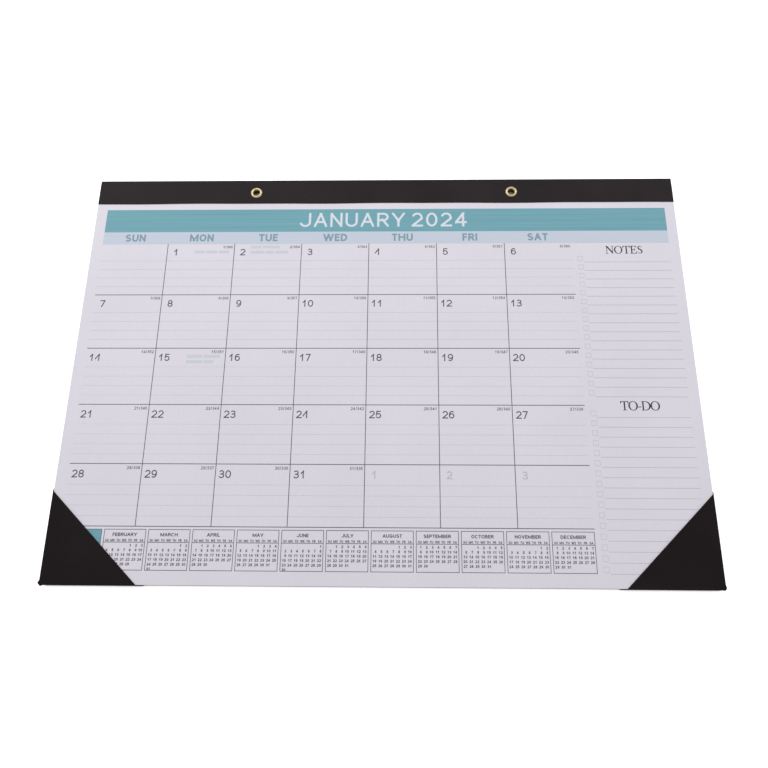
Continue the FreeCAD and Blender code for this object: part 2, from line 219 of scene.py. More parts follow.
def make_leatherette(name, colour):
    """Black leatherette: fine pebble grain, soft sheen, slight wear"""
    skin = new_material(name, colour, roughness=0.55, specular=0.06)
    grain = cells(skin, 1500.0)
    fine = noise(skin, 4200.0, rough=0.6)
    wide = noise(skin, 22.0, detail=4.0, rough=0.55)
    tone = ramp(skin, wide, shade(colour, 0.86), shade(colour, 1.16))
    pits = ramp(skin, grain, WHITE, shade(WHITE, 0.8), 0.2, 0.9)
    paint(skin, multiply(skin, tone, pits))
    vary_roughness(skin, wide, 0.48, 0.64)
    bump(skin, [(grain, 60.0), (fine, 20.0), (wide, 300.0)])
    return skin


def height(material, low, high):
    """Goes from 0 to 1 between two heights in mm"""
    where = add(material, "ShaderNodeTexCoord")
    parts = add(material, "ShaderNodeSeparateXYZ")
    link(material, where.outputs["Object"], parts.inputs["Vector"])
    span = add(material, "ShaderNodeMapRange")
    span.inputs["From Min"].default_value = low * MM
    span.inputs["From Max"].default_value = high * MM
    link(material, parts.outputs["Z"], span.inputs["Value"])
    return span.outputs["Result"]


def make_brass():
    """Pressed brass, a little brushed and tarnished, with painted shade down inside its barrel"""
    colour = (0.46, 0.4, 0.25)
    brass = new_material("eyelet_brass", colour, roughness=0.4, metallic=1.0)
    tarnish = noise(brass, 520.0, detail=4.0, rough=0.6)
    rim = ramp(brass, tarnish, (0.36, 0.27, 0.14), colour, 0.3, 0.6)
    # painted shade: the colour darkens down inside the barrel, where the hole lies in shade
    barrel = height(brass, STRIP_FACE - BARREL_SHADOW, STRIP_FACE + 0.1)
    depth = ramp(brass, barrel, (0.2, 0.15, 0.1), WHITE, 0.0, 1.0)
    paint(brass, multiply(brass, rim, depth))
    vary_roughness(brass, tarnish, 0.58, 0.42)
    brushing = noise(brass, 2600.0, rough=0.6, stretch=(1.0, 1.0, 3.0))
    bump(brass, [(brushing, 10.0)])
    return brass


def make_chipboard():
    """Raw grey-brown chipboard with flecks of fibre, its colour set dark so that its edge under the
    leaves also gives painted shade
    """
    # the board's own grey-brown, made darker as painted shade for its edge under the leaves
    colour = (0.14, 0.126, 0.112)
    board = new_material("chipboard", colour, roughness=0.85, specular=0.2)
    cloud = ramp(board, noise(board, 35.0, detail=5.0), shade(colour, 0.86), shade(colour, 1.12))
    fleck = noise(board, 700.0, detail=4.0, rough=0.7, stretch=(1.0, 0.25, 1.0))
    spots = ramp(board, fleck, shade(WHITE, 0.72), WHITE, 0.3, 0.45)
    paint(board, multiply(board, cloud, spots))
    bump(board, [(noise(board, 1500.0, detail=5.0, rough=0.65), 40.0)])
    return board


PAPER = make_paper()
CHIPBOARD = make_chipboard()
STRIP_SKIN = make_leatherette("strip_leatherette", (0.0215, 0.0172, 0.0188))
CORNER_SKIN = make_leatherette("corner_leatherette", (0.0114, 0.0083, 0.0093))
BRASS = make_brass()
TEAL = make_ink("teal_print", (0.165, 0.375, 0.44), streak=0.09, stretch=(0.012, 1.0, 1.0), scale=700.0)
PALE_BLUE = make_ink("pale_blue_print", (0.565, 0.615, 0.72), streak=0.02)
DARK_LINE = make_ink("dark_line_print", (0.10, 0.098, 0.115))
GREY_LINE = make_ink("grey_line_print", (0.42, 0.41, 0.46))
LIST_LINE = make_ink("list_line_print", (0.545, 0.526, 0.585))
RULED_LINE = make_ink("ruled_line_print", (0.675, 0.648, 0.717))
FAINT_LINE = make_ink("faint_line_print", (0.60, 0.58, 0.65))
WHITE_INK = make_ink("white_print", (0.70, 0.73, 0.80))
TEAL_INK = make_ink("teal_letter_print", (0.22, 0.335, 0.405))
NUMBER_INK = make_ink("number_print", (0.09, 0.088, 0.1))
SMALL_INK = make_ink("small_print", (0.09, 0.088, 0.1))
HEADING_INK = make_ink("heading_print", (0.035, 0.034, 0.04))
PALE_INK = make_ink("pale_number_print", (0.52, 0.505, 0.565))
NOTE_INK = make_ink("note_print", (0.60, 0.63, 0.69))


# meshes


def new_piece(name, mesh, material, slot, *nodes):
    """A piece of the calendar that rides on its one body and takes the look of its material; the slot is
    not used
    """
    piece = bpy.data.objects.new(name, mesh)
    bpy.context.scene.collection.objects.link(piece)
    mesh.materials.clear()
    mesh.materials.append(material)
    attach(piece, BODY)
    if nodes:
        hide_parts(*nodes)
    return piece


def as_mesh(name, points, faces):
    """A mesh from points in mm"""
    mesh = bpy.data.meshes.new(name)
    mesh.from_pydata([(x * MM, y * MM, z * MM) for x, y, z in points], [], faces)
    mesh.validate()
    return mesh


def smooth_by_angle(mesh, degrees):
    mesh.polygons.foreach_set("use_smooth", [True] * len(mesh.polygons))
    mesh.set_sharp_from_angle(angle=math.radians(degrees))


def kept_in_unit(value):
    """A value kept between 0 and 1"""
    return max(0.0, min(1.0, value))


def steps_between(low, high, most):
    """Even steps from low to just short of high, none longer than most"""
    count = max(1, math.ceil((high - low) / most))
    return [low + (high - low) * number / count for number in range(count)]


def grid_lines(limit, holes, half, most):
    """Grid lines across the page, with three close together across each eyelet hole"""
    fixed = [-limit]
    for hole in holes:
        fixed += [hole - half, hole, hole + half]
    fixed.append(limit)
    lines = []
    for low, high in zip(fixed, fixed[1:]):
        lines += steps_between(low, high, most)
    return lines + [limit]


# the leaves: one closed block, its sides stepped as the edges of separate leaves

LEAVES = 12
LEAF_GROOVE = 0.2
LEAF_SPREAD = 0.22
LEAF_FACE = 0.7
GROOVE_END = 0.85
HOLE_HALF = 2.75
PAGE_CELL = 6.0
PAGE_DIP = 0.03


def page_dip(x, y):
    """Faint unevenness of the top leaf, always downwards, in mm"""
    wave = math.sin(x * 0.031 + 1.3) * math.sin(y * 0.043 + 0.4) + math.sin(x * 0.012 - y * 0.021)
    return PAGE_DIP * (0.5 + 0.25 * wave)


def make_leaves():
    draw = random.Random(5)
    xs = grid_lines(PAGE_WIDTH / 2, (-EYELET_X, EYELET_X), HOLE_HALF, PAGE_CELL)
    ys = grid_lines(PAGE_HEIGHT / 2, (EYELET_Y,), HOLE_HALF, PAGE_CELL)
    wide, high = len(xs), len(ys)
    centres = [xs.index(min(xs, key=lambda v: abs(v - side))) for side in (-EYELET_X, EYELET_X)]
    centre_row = ys.index(min(ys, key=lambda v: abs(v - EYELET_Y)))

    def around(column, row):
        """The eyelet hole that a grid point is in or on, or None"""
        for centre in centres:
            if abs(column - centre) <= 1 and abs(row - centre_row) <= 1:
                return centre
        return None

    points, faces, top, bottom = [], [], {}, {}
    for layer, store in ((1, top), (0, bottom)):
        for row, y in enumerate(ys):
            for column, x in enumerate(xs):
                centre = around(column, row)
                if centre == column and row == centre_row:
                    continue
                place_x, place_y = x, y
                if centre is not None and column != centre and row != centre_row:
                    place_x = xs[centre] + (x - xs[centre]) * math.sqrt(0.5)
                    place_y = ys[centre_row] + (y - ys[centre_row]) * math.sqrt(0.5)
                store[column, row] = len(points)
                z = PAGE_FACE - page_dip(x, y) if layer else PAGE_BACK
                points.append((place_x, place_y, z))
    for row in range(high - 1):
        for column in range(wide - 1):
            corners = [(column, row), (column + 1, row), (column + 1, row + 1), (column, row + 1)]
            if any(corner not in top for corner in corners):
                continue
            faces.append([top[corner] for corner in corners])
            faces.append([bottom[corner] for corner in reversed(corners)])
    for centre in centres:
        ring = [(centre + i, centre_row + j) for i, j in
                ((-1, -1), (0, -1), (1, -1), (1, 0), (1, 1), (0, 1), (-1, 1), (-1, 0))]
        for here, there in zip(ring, ring[1:] + ring[:1]):
            faces.append([top[here], top[there], bottom[there], bottom[here]])

    # the outside, going round anticlockwise
    loop = [(column, 0) for column in range(wide - 1)]
    loop += [(wide - 1, row) for row in range(high - 1)]
    loop += [(column, high - 1) for column in range(wide - 1, 0, -1)]
    loop += [(0, row) for row in range(high - 1, 0, -1)]
    thick = (PAGE_FACE - PAGE_BACK) / LEAVES
    rows = []
    for leaf in range(LEAVES):
        inset = 0.0 if leaf == 0 else draw.uniform(0.02, LEAF_SPREAD)
        level = PAGE_FACE - leaf * thick
        if leaf:
            rows.append((level, inset))
        rows.append((level - LEAF_FACE * thick, inset))
        if leaf < LEAVES - 1:
            rows.append((level - GROOVE_END * thick, inset + LEAF_GROOVE))
    above = [top[place] for place in loop]
    for level, inset in rows:
        below = []
        for column, row in loop:
            x = max(-PAGE_WIDTH / 2 + inset, min(PAGE_WIDTH / 2 - inset, xs[column]))
            y = max(-PAGE_HEIGHT / 2 + inset, min(PAGE_HEIGHT / 2 - inset, ys[row]))
            below.append(len(points))
            points.append((x, y, level - page_dip(x, y) * (level - PAGE_BACK) / (PAGE_FACE - PAGE_BACK)))
        faces += join_rings(above, below)
        above = below
    faces += join_rings(above, [bottom[place] for place in loop])
    return as_mesh("leaves", points, faces)


def join_rings(above, below):
    """Quads between two rings of points that go round anticlockwise, seen from above"""
    count = len(above)
    return [[above[i], below[i], below[(i + 1) % count], above[(i + 1) % count]] for i in range(count)]


leaves = make_leaves()
smooth_by_angle(leaves, 25)
new_piece("leaves", leaves, PAPER, "sheet_paper", "month_sheets")


# the eyelets: a thin brass section turned about the middle of its hole

TURNS = 72
BEND_STEPS = 14


def bend(start, end, level, way):
    """Half circle between two radii, over or under a level"""
    middle, half = (start + end) / 2, (start - end) / 2
    angles = [math.pi * number / BEND_STEPS for number in range(BEND_STEPS + 1)]
    return [(middle + half * math.cos(a), level + way * abs(half) * math.sin(a)) for a in angles]


def make_eyelet(name, x, seed):
    draw = random.Random(seed)
    section = (bend(BORE, RIM, STRIP_FACE, 1) + bend(RIM - WALL, BARREL, STRIP_FACE, 1)
               + bend(BARREL, ROLL - WALL, STRIP_BACK, -1) + bend(ROLL, BORE, STRIP_BACK, -1))
    lobes = [(order, draw.uniform(0.008, 0.035), draw.uniform(0, 2 * math.pi)) for order in (2, 3, 5)]
    points, faces = [], []
    for turn in range(TURNS):
        angle = 2 * math.pi * turn / TURNS
        wobble = sum(size * math.sin(order * angle + phase) for order, size, phase in lobes)
        for radius, z in section:
            share = max(0.0, (radius - BARREL) / (RIM - BARREL))
            reach = radius + wobble * share
            points.append((x + reach * math.cos(angle), EYELET_Y + reach * math.sin(angle), z))
    count = len(section)
    for turn in range(TURNS):
        ahead = (turn + 1) % TURNS
        for place in range(count):
            after = (place + 1) % count
            faces.append([turn * count + place, turn * count + after,
                          ahead * count + after, ahead * count + place])
    mesh = as_mesh(name, points, faces)
    bm = bmesh.new()
    bm.from_mesh(mesh)
    bmesh.ops.remove_doubles(bm, verts=bm.verts, dist=1e-7)
    bmesh.ops.recalc_face_normals(bm, faces=bm.faces)
    bm.to_mesh(mesh)
    bm.free()
    smooth_by_angle(mesh, 50)
    return mesh


for side, x, seed in (("left", -EYELET_X, 3), ("right", EYELET_X, 8)):
    mesh = make_eyelet(side + "_brass_eyelet", x, seed)
    new_piece(side + "_brass_eyelet", mesh, BRASS, "eyelet_brass", side + "_eyelet")


# the leatherette: the CAD shapes with softened edges and faint swells

EDGE_SOFT = 0.12
SKIN_CELL = 5.0
FLAT_ANGLE = 0.5
SHARP_ANGLE = 35
STRIP_FRONT = 20.0
EYELET_HOLD = 5.0


def soften(node, name, move):
    """A closed copy of a CAD node, its sharp edges rounded and its points moved a little"""
    bm = bmesh.new()
    bm.from_mesh(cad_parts[node].data)
    bmesh.ops.remove_doubles(bm, verts=bm.verts, dist=2e-6)
    bmesh.ops.dissolve_limit(bm, angle_limit=math.radians(FLAT_ANGLE), verts=bm.verts, edges=bm.edges)
    sharp = [edge for edge in bm.edges
             if edge.is_manifold and edge.calc_face_angle() > math.radians(SHARP_ANGLE)]
    bmesh.ops.bevel(bm, geom=sharp, offset=EDGE_SOFT * MM, segments=2, profile=0.5,
                    affect="EDGES", clamp_overlap=True)
    low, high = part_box(node)
    for axis in (0, 1):
        for place in steps_between(low[axis] / MM, high[axis] / MM, SKIN_CELL)[1:]:
            centre, normal = Vector((0, 0, 0)), Vector((0, 0, 0))
            centre[axis], normal[axis] = place * MM, 1.0
            bmesh.ops.bisect_plane(bm, geom=bm.verts[:] + bm.edges[:] + bm.faces[:],
                                   dist=1e-6, plane_co=centre, plane_no=normal)
    for vert in bm.verts:
        x, y, z = vert.co / MM
        dx, dy, dz = move(x, y, z)
        vert.co += Vector((dx, dy, dz)) * MM
    bmesh.ops.triangulate(bm, faces=bm.faces)
    bmesh.ops.recalc_face_normals(bm, faces=bm.faces)
    mesh = bpy.data.meshes.new(name)
    bm.to_mesh(mesh)
    bm.free()
    smooth_by_angle(mesh, SHARP_ANGLE)
    return mesh


def keep_flats(piece):
    """Shades the flat faces as flat beside the rounded edges"""
    piece.modifiers.new("flats", "WEIGHTED_NORMAL").keep_sharp = True


def strip_move(x, y, z):
    """The front leg of the strip undulates, and its lower edge was cut by hand"""
    if z < PAGE_FACE - 0.1:
        return 0.0, 0.0, 0.0
    away = kept_in_unit((PAGE_HEIGHT / 2 - y) / STRIP_FRONT)
    near_eyelet = min(abs(x - EYELET_X), abs(x + EYELET_X))
    free = kept_in_unit((near_eyelet - EYELET_HOLD) / STRIP_FRONT)
    wave = math.sin(x * 0.043 + 0.7) + 0.6 * math.sin(x * 0.091 + 2.1)
    edge = 0.16 * wave * away ** 3
    lift = 0.035 * free * (1 + math.sin(x * 0.06 + y * 0.1)) * math.sin(math.pi * away)
    return 0.0, edge, lift


strip = new_piece("binding_skin", soften("binding_strip", "binding_skin", strip_move),
                  STRIP_SKIN, "strip_leatherette", "binding_strip")
keep_flats(strip)

POCKET_LEG = 60.0
POCKET_WALL = 0.5


def pocket_move(side, ear, longer):
    """The mouth of a pocket stands a little proud between its two ends, and its ear is drawn in"""
    def move(x, y, z):
        along = x * side + PAGE_WIDTH / 2
        up = y + PAGE_HEIGHT / 2
        draw_x = max(0.0, -POCKET_WALL - along) * (1 - ear) * side
        draw_x += max(0.0, along) * longer / POCKET_LEG * side
        draw_y = max(0.0, -POCKET_WALL - up) * (1 - ear)
        if z < PAGE_FACE:
            return draw_x, draw_y, 0.0
        mouth = kept_in_unit((along + up) / POCKET_LEG)
        middle = max(0.0, 1.0 - abs(along - up) / POCKET_LEG)
        swell = 0.22 * mouth ** 2 * middle
        ripple = 0.03 * (1 + math.sin(0.21 * along + 0.13 * up)) * mouth * middle
        return draw_x, draw_y, swell + ripple
    return move


for node, side, ear, longer in (("left_corner", 1, 0.65, 1.6), ("right_corner", -1, 0.25, 0.5)):
    name = node + "_pocket"
    shape = soften(node, name, pocket_move(side, ear, longer))
    pocket = new_piece(name, shape, CORNER_SKIN, "corner_leatherette", node)
    keep_flats(pocket)


# lettering: each letter is a few strokes on a skeleton, joined into one flat outline

# skeletons in a unit box: the letter's width for a cap height of 1, then its strokes, a straight
# one as four numbers (from, to), an arc as six (centre, reaches, first and last angle)
LETTERS = {
    "0": (0.65, [(0.5, 0.5, 0.5, 0.5, 0, 360)]),
    "1": (0.62, [(0.62, 0, 0.62, 1), (0.62, 0.95, 0.22, 0.7)]),
    "2": (0.65, [(0.5, 0.7, 0.47, 0.3, 168, -32), (0.9, 0.54, 0.04, 0.04), (0, 0, 1, 0)]),
    "3": (0.62, [(0.48, 0.76, 0.44, 0.24, 155, -90), (0.48, 0.27, 0.52, 0.27, 90, -160),
                 (0.32, 0.53, 0.5, 0.53)]),
    "4": (0.66, [(0.74, 0, 0.74, 1), (0.74, 1, 0, 0.3), (0, 0.27, 1, 0.27)]),
    "5": (0.62, [(0.14, 1, 0.92, 1), (0.14, 1, 0.06, 0.5), (0.48, 0.32, 0.52, 0.32, 140, -158)]),
    "6": (0.62, [(0.5, 0.32, 0.5, 0.32, 0, 360), (0.55, 0.5, 0.55, 0.5, 45, 192)]),
    "7": (0.6, [(0, 1, 1, 1), (1, 1, 0.32, 0)]),
    "8": (0.62, [(0.5, 0.75, 0.43, 0.25, 0, 360), (0.5, 0.265, 0.5, 0.265, 0, 360)]),
    "9": (0.62, [(0.5, 0.68, 0.5, 0.32, 0, 360), (0.45, 0.5, 0.55, 0.5, -135, 12)]),
    "/": (0.4, [(0, 0, 1, 1)]),
    "A": (0.76, [(0, 0, 0.5, 1), (0.5, 1, 1, 0), (0.2, 0.33, 0.8, 0.33)]),
    "B": (0.66, [(0, 0, 0, 1), (0, 1, 0.55, 1), (0.55, 0.77, 0.38, 0.23, 90, -90), (0, 0.54, 0.6, 0.54),
                 (0.6, 0.27, 0.4, 0.27, 90, -90), (0, 0, 0.6, 0)]),
    "C": (0.74, [(0.5, 0.5, 0.5, 0.5, 45, 315)]),
    "D": (0.72, [(0, 0, 0, 1), (0, 1, 0.4, 1), (0.4, 0.5, 0.6, 0.5, 90, -90), (0, 0, 0.4, 0)]),
    "E": (0.54, [(0, 0, 0, 1), (0, 1, 1, 1), (0, 0.52, 0.9, 0.52), (0, 0, 1, 0)]),
    "F": (0.52, [(0, 0, 0, 1), (0, 1, 1, 1), (0, 0.5, 0.88, 0.5)]),
    "G": (0.78, [(0.5, 0.5, 0.5, 0.5, 45, 338), (0.56, 0.45, 0.97, 0.45), (0.97, 0.45, 0.97, 0.2)]),
    "H": (0.76, [(0, 0, 0, 1), (1, 0, 1, 1), (0, 0.53, 1, 0.53)]),
    "I": (0.0, [(0, 0, 0, 1)]),
    "J": (0.64, [(1, 1, 1, 0.3), (0.5, 0.3, 0.5, 0.3, 0, -175)]),
    "L": (0.54, [(0, 0, 0, 1), (0, 0, 1, 0)]),
    "M": (0.94, [(0, 0, 0, 1), (1, 0, 1, 1), (0, 1, 0.5, 0.15), (0.5, 0.15, 1, 1)]),
    "N": (0.69, [(0, 0, 0, 1), (1, 0, 1, 1), (0, 1, 1, 0)]),
    "O": (0.77, [(0.5, 0.5, 0.5, 0.5, 0, 360)]),
    "P": (0.64, [(0, 0, 0, 1), (0, 1, 0.55, 1), (0.55, 0.73, 0.45, 0.27, 90, -90),
                 (0, 0.46, 0.55, 0.46)]),
    "R": (0.67, [(0, 0, 0, 1), (0, 1, 0.55, 1), (0.55, 0.73, 0.42, 0.27, 90, -90), (0, 0.46, 0.55, 0.46),
                 (0.5, 0.46, 1, 0)]),
    "S": (0.64, [(0.5, 0.75, 0.45, 0.25, 28, 272), (0.5, 0.26, 0.5, 0.26, 92, -152)]),
    "T": (0.6, [(0, 1, 1, 1), (0.5, 0, 0.5, 1)]),
    "U": (0.7, [(0, 1, 0, 0.34), (1, 1, 1, 0.34), (0.5, 0.34, 0.5, 0.34, 180, 360)]),
    "V": (0.72, [(0, 1, 0.5, 0), (0.5, 0, 1, 1)]),
    "W": (1.15, [(0, 1, 0.25, 0), (0.25, 0, 0.5, 1), (0.5, 1, 0.75, 0), (0.75, 0, 1, 1)]),
    "Y": (0.74, [(0, 1, 0.5, 0.44), (1, 1, 0.5, 0.44), (0.5, 0, 0.5, 0.46)]),
}
SPACE_WIDTH = 0.03
LETTER_GAP = 0.13
BROAD = 1.1
ROUND_STEPS = 28


def ellipse(centre_x, centre_y, reach_x, reach_y, start=0.0, end=360.0, steps=ROUND_STEPS):
    """Points along an ellipse from one angle to another"""
    angles = [math.radians(start + (end - start) * number / steps) for number in range(steps + 1)]
    return [(centre_x + reach_x * math.cos(a), centre_y + reach_y * math.sin(a)) for a in angles]


def clip(ring, axis, limit, way):
    """The part of a convex ring of points on one side of a limit"""
    kept = []
    for here, there in zip(ring, ring[1:] + ring[:1]):
        inside, next_inside = (here[axis] - limit) * way >= 0, (there[axis] - limit) * way >= 0
        if inside:
            kept.append(here)
        if inside != next_inside:
            share = (limit - here[axis]) / (there[axis] - here[axis])
            kept.append((here[0] + share * (there[0] - here[0]), here[1] + share * (there[1] - here[1])))
    return kept


def straight_stroke(start, end, weight, wide):
    """A bar between two points, its ends cut flush with the letter's box"""
    along = (Vector(end) - Vector(start)).normalized()
    across = Vector((-along.y, along.x)) * weight / 2
    slanted = abs(along.x) > 0.01 and abs(along.y) > 0.01
    reach = along * weight * (0.9 if slanted else 0.5)
    first, last = Vector(start) - reach, Vector(end) + reach
    ring = [tuple(point) for point in (first - across, last - across, last + across, first + across)]
    for axis, limit, way in ((0, 0.0, 1), (0, wide, -1), (1, 0.0, 1), (1, 1.0, -1)):
        ring = clip(ring, axis, limit, way)
    return ring


def stroke_solid(rings):
    """Points and faces of a closed solid, 1 high, over one ring or over the band between two rings"""
    count = len(rings[0])
    if len(rings) == 1:
        points = [(x, y, z) for z in (0.0, 1.0) for x, y in rings[0]]
        faces = [[count + i for i in range(count)], list(reversed(range(count)))]
        faces += [[i, (i + 1) % count, count + (i + 1) % count, count + i] for i in range(count)]
        return points, faces
    outer, inner = rings
    layers = ((outer, 0.0), (inner, 0.0), (inner, 1.0), (outer, 1.0))
    points = [(x, y, z) for ring, z in layers for x, y in ring]
    faces = []
    for i in range(count):
        ahead = (i + 1) % count
        for layer in range(4):
            here, after = layer * count, (layer + 1) % 4 * count
            faces.append([here + i, after + i, after + ahead, here + ahead])
    return points, faces


def stroke_object(stroke, weight, wide, steps):
    """One stroke of a letter as a closed solid"""
    def place(x, y):
        return weight / 2 + x * (wide - weight), weight / 2 + y * (1 - weight)

    if len(stroke) == 4:
        rings = [straight_stroke(place(*stroke[:2]), place(*stroke[2:]), weight, wide)]
    else:
        centre = place(*stroke[:2])
        reaches = stroke[2] * (wide - weight), stroke[3] * (1 - weight)
        whole = stroke[5] - stroke[4] == 360
        count = max(4, round(steps * abs(stroke[5] - stroke[4]) / 360))
        middle = ellipse(*centre, *reaches, *stroke[4:], count)
        offsets = []
        for number, (x, y) in enumerate(middle):
            angle = math.radians(stroke[4] + (stroke[5] - stroke[4]) * number / count)
            normal = Vector((reaches[1] * math.cos(angle), reaches[0] * math.sin(angle))).normalized()
            offsets.append((normal.x * weight / 2, normal.y * weight / 2))
        outer = [(x + dx, y + dy) for (x, y), (dx, dy) in zip(middle, offsets)]
        inner = [(x - dx, y - dy) for (x, y), (dx, dy) in zip(middle, offsets)]
        rings = [outer[:-1], inner[:-1]] if whole else [outer + inner[::-1]]
    points, faces = stroke_solid(rings)
    mesh = bpy.data.meshes.new("stroke")
    mesh.from_pydata(points, [], faces)
    bm = bmesh.new()
    bm.from_mesh(mesh)
    bmesh.ops.recalc_face_normals(bm, faces=bm.faces)
    bm.to_mesh(mesh)
    bm.free()
    thing = bpy.data.objects.new("stroke", mesh)
    bpy.context.scene.collection.objects.link(thing)
    return thing


def joined_strokes(strokes, weight, wide, steps):
    """The strokes of a letter in one solid"""
    things = [stroke_object(stroke, weight, wide, steps) for stroke in strokes]
    for other in things[1:]:
        join = things[0].modifiers.new("join", "BOOLEAN")
        join.operation = "UNION"
        join.solver = "EXACT"
        join.object = other
    bpy.context.view_layer.update()
    graph = bpy.context.evaluated_depsgraph_get()
    mesh = bpy.data.meshes.new_from_object(things[0].evaluated_get(graph))
    for thing in things:
        bpy.data.meshes.remove(thing.data)
    return mesh


def flat_outline(mesh, level):
    """Points, faces and rim edges of the upward faces of a solid at a level"""
    bm = bmesh.new()
    bm.from_mesh(mesh)
    bmesh.ops.remove_doubles(bm, verts=bm.verts, dist=1e-5)
    bmesh.ops.dissolve_degenerate(bm, edges=bm.edges, dist=1e-5)
    index, points, faces = {}, [], []
    for face in bm.faces:
        if abs(face.normal.z) < 0.9 or face.calc_center_median().z < level - 0.01:
            continue
        ring = []
        for vert in face.verts:
            if vert not in index:
                index[vert] = len(points)
                points.append((vert.co.x, vert.co.y))
            ring.append(index[vert])
        faces.append(ring if face.normal.z > 0 else ring[::-1])
    bm.free()
    bpy.data.meshes.remove(mesh)
    sides = {(ring[i], ring[(i + 1) % len(ring)]) for ring in faces for i in range(len(ring))}
    return points, faces, sorted(edge for edge in sides if edge[::-1] not in sides)


GLYPHS = {}
FINE_STEPS = 36
SMALL_STEPS = 12


def glyph(char, weight, stretch, fine):
    """The flat outline of a letter, and the room it takes along the line"""
    key = (char, weight, stretch, fine)
    if key not in GLYPHS:
        width, strokes = LETTERS[char]
        wide = max(width * stretch, weight)
        steps = FINE_STEPS if fine else SMALL_STEPS
        GLYPHS[key] = flat_outline(joined_strokes(strokes, weight, wide, steps), 1.0), wide
    return GLYPHS[key]


def lay_out(shapes, widths, x, y, tall, anchor, width):
    """Places letters in a row about a point of the page, spaced out to a width if one is given"""
    starts, reach = [], 0.0
    for shape, wide in zip(shapes, widths):
        starts.append(reach)
        reach += wide + LETTER_GAP
    reach -= LETTER_GAP
    extra = 0.0 if width is None else (width / tall - reach) / (len(shapes) - 1)
    reach += extra * (len(shapes) - 1)
    shift = {"middle": -reach / 2, "right": -reach}[anchor]
    placed = []
    for number, shape in enumerate(shapes):
        if shape is None:
            continue
        points, faces, rim = shape
        start = starts[number] + extra * number + shift
        moved = [(x + (px + start) * tall, y + tall / 2 - py * tall) for px, py in points]
        placed.append((moved, faces, rim))
    return placed


def line(text, x, y, tall, anchor="middle", width=None, weight=0.13, stretch=1.0, fine=True):
    """A line of plain lettering, centred in height on y, in mm from the page's left and top edges"""
    shapes, widths = [], []
    for char in text:
        shape, wide = (None, SPACE_WIDTH * stretch) if char == " " else glyph(char, weight, stretch, fine)
        shapes.append(shape)
        widths.append(wide)
    return lay_out(shapes, widths, x, y, tall, anchor, width)


def bar(left, top, width, height):
    """A plain printed bar"""
    points = [(left, top), (left + width, top), (left + width, top + height), (left, top + height)]
    return (points, [[3, 2, 1, 0]], [(0, 3), (3, 2), (2, 1), (1, 0)])


def ink_mesh(name, shapes, low, high):
    """Closed solids of ink from flat shapes on the page, between two heights"""
    points, faces = [], []
    for flat, tops, rim in shapes:
        base, count = len(points), len(flat)
        for z in (low, high):
            points += [(px - PAGE_WIDTH / 2, PAGE_HEIGHT / 2 - py, z) for px, py in flat]
        for ring in tops:
            faces.append([base + count + index for index in ring])
            faces.append([base + index for index in reversed(ring)])
        for a, b in rim:
            faces.append([base + a, base + b, base + count + b, base + count + a])
    return as_mesh(name, points, faces)


def add_print(name, shapes, material, slot, low=PAGE_FACE - PRINT_SUNK, high=PRINT_TOP):
    return new_piece(name, ink_mesh(name, shapes, low, high), material, slot)


def column_left(column):
    return TABLE_LEFT if column == 0 else TABLE_LEFT + FIRST_COLUMN + COLUMN * (column - 1)


def column_right(column):
    return TABLE_RIGHT if column == 6 else TABLE_LEFT + FIRST_COLUMN + COLUMN * column


def month_days(month):
    """(day, column, row) of each day of a month, in weeks that start on Sunday"""
    first = (calendar.monthrange(YEAR, month)[0] + 1) % 7
    return [(day, (first + day - 1) % 7, (first + day - 1) // 7)
            for day in range(1, calendar.monthrange(YEAR, month)[1] + 1)]


# the lettering's places, from the page's left and top edges or from those of a day's box, and its
# heights, in mm
TITLE_Y = 34.4
TITLE_TALL = 11.9
TITLE_WIDTH = 124.2
WEEKDAY_X = 32.0
WEEKDAY_Y = 49.3
WEEKDAY_TALL = 6.1
NUMBER_RIGHT = 6.4
NUMBER_DOWN = 6.9
NUMBER_TALL = 5.3
COUNT_LEFT = 1.3
COUNT_DOWN = 2.7
COUNT_TALL = 2.1
BAND_BITE = 0.01

# the title and the names of the days lie on their printed bands
on_band = {"low": PRINT_TOP - BAND_BITE, "high": PRINT_TOP + LETTER_RISE}
title = line(f"{MONTHS[0]} {YEAR}", PAGE_WIDTH / 2, TITLE_Y, TITLE_TALL,
             width=TITLE_WIDTH, weight=0.14, stretch=BROAD)
add_print("title_letters", title, WHITE_INK, "pale_blue_print", **on_band)
names = []
for column, name in enumerate(WEEKDAYS):
    names += line(name, WEEKDAY_X + COLUMN * column, WEEKDAY_Y, WEEKDAY_TALL, weight=0.21, stretch=BROAD)
add_print("weekday_letters", names, TEAL_INK, "teal_print", **on_band)

# the numbers of the days, and in this month the small count of days gone and left
numbers, pale_numbers, counts = [], [], []
cells_of_table = [(day, column, row, True) for day, column, row in month_days(1)]
last = cells_of_table[-1]
cells_of_table += [(extra, last[1] + extra, last[2], False) for extra in range(1, 7 - last[1])]
for day, column, row, this_month in cells_of_table:
    row_top = TABLE_TOP + ROW * row
    x = column_left(column) + NUMBER_RIGHT
    number = line(str(day), x, row_top + NUMBER_DOWN, NUMBER_TALL, weight=0.132, stretch=BROAD)
    if not this_month:
        pale_numbers += number
        continue
    numbers += number
    counts += line(f"{day}/{DAYS_OF_YEAR - day}", column_right(column) - COUNT_LEFT,
                   row_top + COUNT_DOWN, COUNT_TALL, anchor="right", fine=False)
add_print("day_numbers", numbers, NUMBER_INK, "dark_line_print")
add_print("next_month_numbers", pale_numbers, PALE_INK, "grey_line_print")
add_print("day_counts", counts, SMALL_INK, "grey_line_print")

